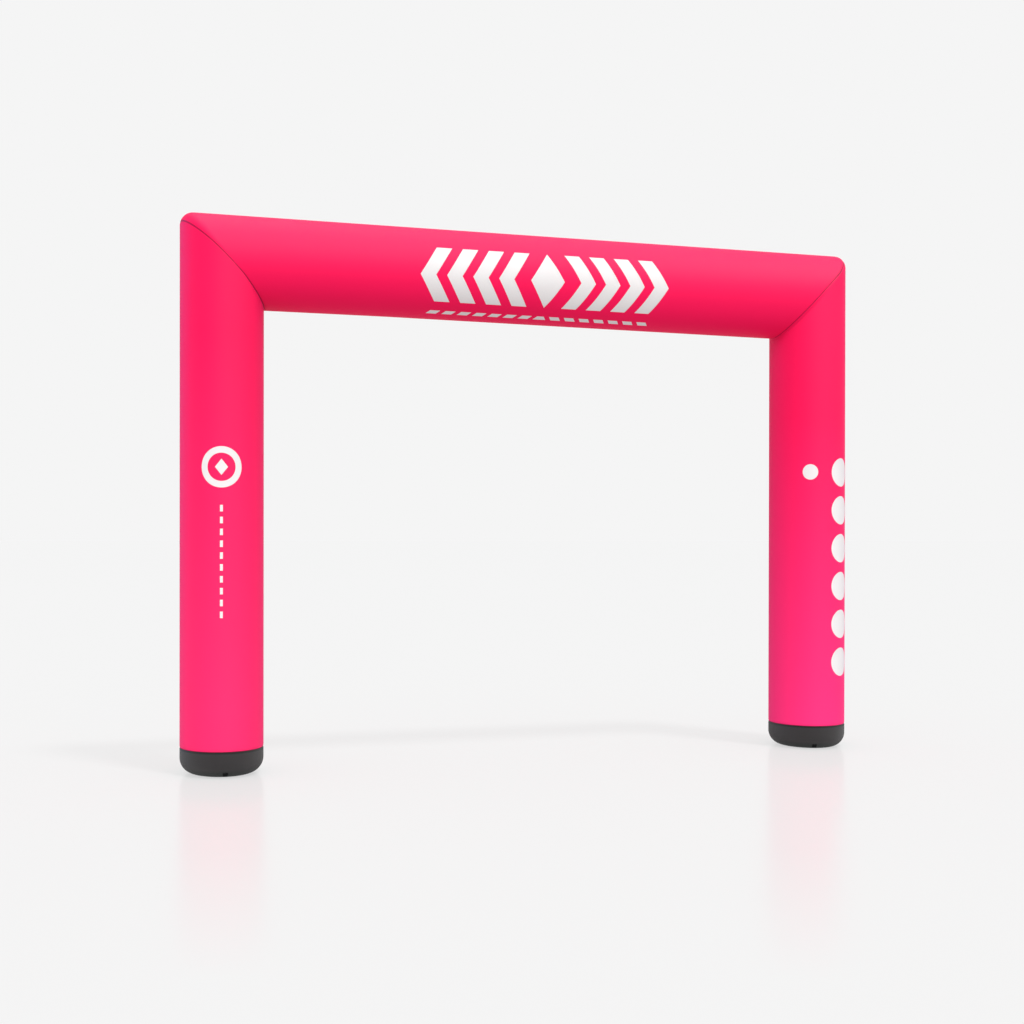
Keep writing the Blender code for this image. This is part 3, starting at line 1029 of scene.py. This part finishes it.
class ArchStage(bpy.types.PropertyGroup):
    """Floor, light and camera."""

    backdrop: number("Backdrop", "Brightness of the surround", 0.913)
    floor_glow: number("Floor Glow", "Part of the floor's brightness that no shadow takes", 0.665)
    floor_colour: number("Floor Colour", "Lit part of the floor", 0.205)
    floor_gloss: number("Floor Gloss", "Strength of the floor's reflection seen from low down", 0.108)
    gloss_from: number("Gloss Start", "Slant of view at which the floor starts to reflect", 0.722)
    gloss_full: number("Gloss Full", "Slant of view at which the reflection is at full strength", 0.8)
    floor_blur: number("Floor Blur", "Roughness of the floor's reflection", 0.2)
    key_strength: number("Key Strength", "Strength of the light that casts the shadow", 1.0)
    key_height: degrees("Key Height", "Height of the key light", 65)
    key_swing: degrees("Key Swing", "Swing of the key from the front towards +X", 29.5)
    key_softness: degrees("Key Softness", "Spread of the key light", 8)
    fill_strength: number("Fill Strength", "Strength of the broad front light", 2.5)
    fill_height: degrees("Fill Height", "Height of the front light", 36)
    fill_swing: degrees("Fill Swing", "Swing of the front light towards +X", -14)
    fill_softness: degrees("Fill Softness", "Spread of the front light", 32)
    front_gleam: number("Front Gleam", "Strength of the low front light that only glosses", 8.2)
    side_gleam: number("Side Gleam", "Strength of the side light that only glosses", 8.8)
    top_gleam: number("Top Gleam", "Strength of the overhead light that only glosses", 5.3)
    cool_gleam: number("Cool Gleam", "Strength of the cool light from behind that only glosses", 3.4)
    gleam_softness: degrees("Gleam Softness", "Spread of each gleam", 50)
    lens: number("Lens", "Focal length of the camera in millimetres", 52.734)
    shift_up: number("Shift", "Upward shift of the camera's frame", 0.03105)


class ARCH_OT_tubes(bpy.types.Operator):
    """Make the two legs and the beam as printed cloth tubes."""

    bl_idname = "arch.tubes"
    bl_label = "Cloth Tubes"

    def execute(self, context):
        sizes, finish = context.scene.arch_sizes, context.scene.arch_finish
        looks = {
            "left": (left_leg_print, finish.low_left_painted_bounce, finish.painted_bounce_left_from),
            "right": (right_leg_print, finish.low_right_painted_bounce, finish.painted_bounce_right_from),
        }
        for label, side in SIDES.items():
            name = "leg_" + label
            cloth = tube_cloth(name + "_polyester", *looks[label], finish.leg_sheen)
            make_tube(name + "_cloth", tube_values(side, True), cloth, sizes.leg_rings, name)
        cloth = tube_cloth("beam_polyester", beam_print, finish.cloth_colour, 0.0, finish.beam_sheen)
        left_end = {"Left " + label: value for label, value in seam_shift(-1.0, -1.0).items()}
        values = tube_values(1.0, False) | left_end | {"Both Ends": True}
        make_tube("beam_cloth", values, cloth, sizes.beam_rings, "beam")
        return {"FINISHED"}


class ARCH_OT_feet(bpy.types.Operator):
    """Make the two charcoal feet."""

    bl_idname = "arch.feet"
    bl_label = "Feet"

    def execute(self, context):
        tree = shared_tree("Foot Cap", foot_cap_tree, foot_surface())
        own = FOOT_GRID | {"Material": foot_cloth()}
        for label, side in SIDES.items():
            name = "foot_" + label
            padded_piece(name + "_cap", tree, foot_values(side) | own, name)
        return {"FINISHED"}


# Swing of each tab from its foot's front towards +X
TAB_SWING = {"left": math.radians(-3), "right": math.radians(-19)}

# The tab's stitch rows: how far below its upper end, part of its width, and stitches
TAB_ROWS = (0.03, 0.09)
TAB_ROW_WIDTH = 0.8
TAB_ROW_COUNT = 4


def tab_turns(label, side, width):
    """(middle, half) turn of a tab on its foot."""
    turn = FRONT - side * TAB_SWING[label]
    reach = math.hypot(LEG_HALF_WIDTH * math.sin(turn), HALF_DEPTH * math.cos(turn))
    return turn, width / 2 / reach


class ARCH_OT_tabs(bpy.types.Operator):
    """Make the webbing tab on the front of each foot, with its sewing."""

    bl_idname = "arch.tabs"
    bl_label = "Anchor Tabs"

    def execute(self, context):
        sizes = context.scene.arch_sizes
        tree = shared_tree("Webbing Tab", tab_tree, foot_surface())
        own = tab_values() | {"Material": webbing()}
        lift = SOLID_GAP + sizes.tab_thickness
        for label, side in SIDES.items():
            name = "tab_" + label
            turn, half_turn = tab_turns(label, side, sizes.tab_width)
            foot = foot_values(side)
            mesh = made_mesh("tab", tree, foot | own | {"Turn": turn, "Half Turn": half_turn})
            close_and_face_out(mesh)
            place_piece(name + "_webbing", mesh, [name])
            turns = (turn - half_turn * TAB_ROW_WIDTH, turn + half_turn * TAB_ROW_WIDTH)
            rows = [foot_row(foot, turns, TAB_HIGH + below, TAB_ROW_COUNT, lift) for below in TAB_ROWS]
            place_rows(name + "_stitches", rows)
        return {"FINISHED"}


# The closing seam behind a tube: distance of its stitch rows from it, and the part of the tube's
# length that they leave free at an end
CLOSING_OFFSET = 0.006
CLOSING_FREE = 0.012

# Part of its thickness by which the thread stands off a foot
HEM_LIFT = 0.15


def closing_rows(values, half_width, last_share, count):
    """Two rows of stitches behind a tube, beside its closing seam."""
    turns = [BACK + offset / half_width for offset in (-CLOSING_OFFSET, CLOSING_OFFSET)]
    return [tube_row(values, (turn, turn), (CLOSING_FREE, last_share), 0.0, count) for turn in turns]


class ARCH_OT_stitching(bpy.types.Operator):
    """Sew the mitres, the foot seams and the closing seam behind each tube."""

    bl_idname = "arch.stitching"
    bl_label = "Stitching"

    def execute(self, context):
        sizes = context.scene.arch_sizes
        offset, pitch = sizes.row_offset, sizes.stitch_pitch
        mitre_round = math.pi * (math.hypot(LEG_HALF_WIDTH, HALF_DEPTH) + HALF_DEPTH)
        mitre_count = round(mitre_round / pitch)
        foot_count = round(math.pi * (LEG_HALF_WIDTH + HALF_DEPTH) / pitch)
        leg_count = round((BEAM_AXIS_Z - FOOT_TOP) / pitch)
        hem_profile = offset / (FOOT_TOP - sizes.foot_edge_round)
        beam_rows = []
        for label, side in SIDES.items():
            leg, beam = tube_values(side, True), tube_values(side, False)
            rows = [tube_row(tube, FULL_TURN, (0, 0), offset, mitre_count) for tube in (leg, beam)]
            place_rows("mitre_" + label + "_stitches", rows)
            rows = [tube_row(leg, FULL_TURN, (1, 1), -offset, foot_count)]
            rows += closing_rows(leg, LEG_HALF_WIDTH, 1 - CLOSING_FREE, leg_count)
            place_rows("leg_" + label + "_stitches", rows)
            hem = foot_row(foot_values(side), FULL_TURN, hem_profile, foot_count, sizes.thread * HEM_LIFT)
            place_rows("foot_" + label + "_stitches", [hem])
            beam_rows += closing_rows(beam, HALF_DEPTH, 1.0, round(LEG_AXIS_X / pitch))
        place_rows("beam_stitches", beam_rows)
        return {"FINISHED"}


# Half the floor's width, and how far the lamps stand from the middle, in metres
FLOOR_REACH = 400.0
LAMP_DISTANCE = 8.0


def stage_floor(stage):
    """A wide pale floor that reflects faintly where it is seen from low down."""
    shell = bmesh.new()
    bmesh.ops.create_grid(shell, x_segments=1, y_segments=1, size=FLOOR_REACH)
    mesh = bpy.data.meshes.new("stage_floor")
    shell.to_mesh(mesh)
    shell.free()
    floor = bpy.data.objects.new("stage_floor", mesh)
    bpy.context.scene.collection.objects.link(floor)
    material, graph, _ = new_material("stage_floor")
    material.node_tree.nodes.clear()
    white, grey = (1.0, 1.0, 1.0, 1.0), (stage.floor_colour,) * 3 + (1.0,)
    lit = graph.wire("ShaderNodeBsdfDiffuse", {"Color": grey})
    glow = graph.wire("ShaderNodeEmission", {"Color": white, "Strength": stage.floor_glow})
    matte = graph.wire("ShaderNodeAddShader", {0: lit, 1: glow})
    gloss = graph.wire("ShaderNodeBsdfAnisotropic", {"Color": white, "Roughness": stage.floor_blur})
    slant = graph.wire("ShaderNodeLayerWeight", {"Blend": 0.5}, output=1)
    reach = stage.gloss_full - stage.gloss_from
    share = graph.unit((slant - stage.gloss_from) / reach) * stage.floor_gloss
    mixed = graph.wire("ShaderNodeMixShader", {0: share, 1: matte, 2: gloss})
    graph.node("ShaderNodeOutputMaterial", {"Surface": mixed})
    mesh.materials.append(material)
    return floor


def stage_world(stage):
    """An even pale surround."""
    world = bpy.data.worlds.new("stage_surround")
    world.use_nodes = True
    back = world.node_tree.nodes["Background"]
    set_plain(back, {"Color": (1.0, 1.0, 1.0, 1.0), "Strength": stage.backdrop})
    bpy.context.scene.world = world


def stage_light(name, strength, height, swing, softness):
    """A broad far light at a height, swung from the front towards +X."""
    light = bpy.data.lights.new(name, "SUN")
    light.energy = strength
    light.angle = softness
    lamp = bpy.data.objects.new(name, light)
    level = math.cos(height)
    source = Vector((level * math.sin(swing), -level * math.cos(swing), math.sin(height)))
    lamp.rotation_euler = source.to_track_quat("Z", "Y").to_euler()
    lamp.location = source * LAMP_DISTANCE
    bpy.context.scene.collection.objects.link(lamp)
    return lamp


def keep_off(lamp, thing):
    """Let a light reach everything but one object."""
    listed = bpy.data.collections.new(lamp.name + "_left_out")
    listed.objects.link(thing)
    listed.collection_objects[0].light_linking.link_state = "EXCLUDE"
    lamp.light_linking.receiver_collection = listed


# Lights that only gloss: name, height and swing towards +X in degrees, colour
WHITE, BLUE = (1.0, 1.0, 1.0), (0.0, 0.25, 1.0)
GLEAMS = (
    ("front_gleam", 35, 0, WHITE),
    ("side_gleam", 45, 50, WHITE),
    ("top_gleam", 95, 0, WHITE),
    ("cool_gleam", 4, -125, BLUE),
)


def stage_lights(stage, floor):
    """Key, broad front light and the gleams."""
    key = stage_light("key", stage.key_strength, stage.key_height, stage.key_swing, stage.key_softness)
    key.visible_glossy = False
    fill = stage_light("fill", stage.fill_strength, stage.fill_height, stage.fill_swing, stage.fill_softness)
    fill.visible_glossy = False
    keep_off(fill, floor)
    for name, height, swing, tint in GLEAMS:
        place = (math.radians(height), math.radians(swing))
        gleam = stage_light(name, getattr(stage, name), *place, stage.gleam_softness)
        gleam.data.color = tint
        gleam.visible_diffuse = False
        keep_off(gleam, floor)


# Where the camera stands and how it is turned, from the photograph's perspective
CAMERA_PLACE = Vector((-2.8570, -8.1638, 1.2727))
SENSOR_WIDTH = 36.0
CAMERA_YAW = math.radians(18.4782)
CAMERA_PITCH = math.radians(-0.2761)
CAMERA_ROLL = math.radians(0.0905)


def stage_camera(stage):
    """The photograph's view."""
    reach, rise = math.cos(CAMERA_PITCH), math.sin(CAMERA_PITCH)
    forward = Vector((math.sin(CAMERA_YAW) * reach, math.cos(CAMERA_YAW) * reach, rise))
    level = Vector((math.cos(CAMERA_YAW), -math.sin(CAMERA_YAW), 0.0))
    upward = level.cross(forward)
    right = level * math.cos(CAMERA_ROLL) + upward * math.sin(CAMERA_ROLL)
    up = upward * math.cos(CAMERA_ROLL) - level * math.sin(CAMERA_ROLL)
    data = bpy.data.cameras.new("camera")
    data.sensor_width = SENSOR_WIDTH
    data.lens = stage.lens
    data.shift_y = stage.shift_up
    camera = bpy.data.objects.new("camera", data)
    turn = Matrix((right, up, -forward)).transposed().to_4x4()
    camera.matrix_world = Matrix.Translation(CAMERA_PLACE) @ turn
    bpy.context.scene.collection.objects.link(camera)
    bpy.context.scene.camera = camera


class ARCH_OT_stage(bpy.types.Operator):
    """Set the pale floor, the soft light and the camera."""

    bl_idname = "arch.stage"
    bl_label = "Stage"

    def execute(self, context):
        stage = context.scene.arch_stage
        stage_camera(stage)
        stage_world(stage)
        stage_lights(stage, stage_floor(stage))
        view = context.scene.view_settings
        view.view_transform = "Standard"
        view.look = "None"
        return {"FINISHED"}


class ARCH_PT_panel(bpy.types.Panel):
    """Buttons that make the arch piece by piece."""

    bl_label = "Inflatable Arch"
    bl_idname = "ARCH_PT_panel"
    bl_space_type = "VIEW_3D"
    bl_region_type = "UI"
    bl_category = "Arch"

    def draw(self, context):
        for step in STEPS:
            self.layout.operator(step.bl_idname)
        for group_name, kind in GROUPS.items():
            box = self.layout.box()
            for name in kind.__annotations__:
                box.prop(getattr(context.scene, group_name), name)


GROUPS = {
    "arch_sizes": ArchSizes,
    "arch_print": ArchPrint,
    "arch_finish": ArchFinish,
    "arch_stage": ArchStage,
}
STEPS = (ARCH_OT_stage, ARCH_OT_tubes, ARCH_OT_feet, ARCH_OT_tabs, ARCH_OT_stitching)


def register():
    for kind in (*GROUPS.values(), *STEPS, ARCH_PT_panel):
        bpy.utils.register_class(kind)
    for name, kind in GROUPS.items():
        setattr(bpy.types.Scene, name, PointerProperty(type=kind))


def unregister():
    for name in GROUPS:
        delattr(bpy.types.Scene, name)
    for kind in (ARCH_PT_panel, *reversed(STEPS), *reversed(list(GROUPS.values()))):
        bpy.utils.unregister_class(kind)


def main():
    """Make every piece and the stage."""
    register()
    bpy.ops.arch.stage()
    bpy.ops.arch.tubes()
    bpy.ops.arch.feet()
    bpy.ops.arch.tabs()
    bpy.ops.arch.stitching()


if __name__ == "__main__":
    main()
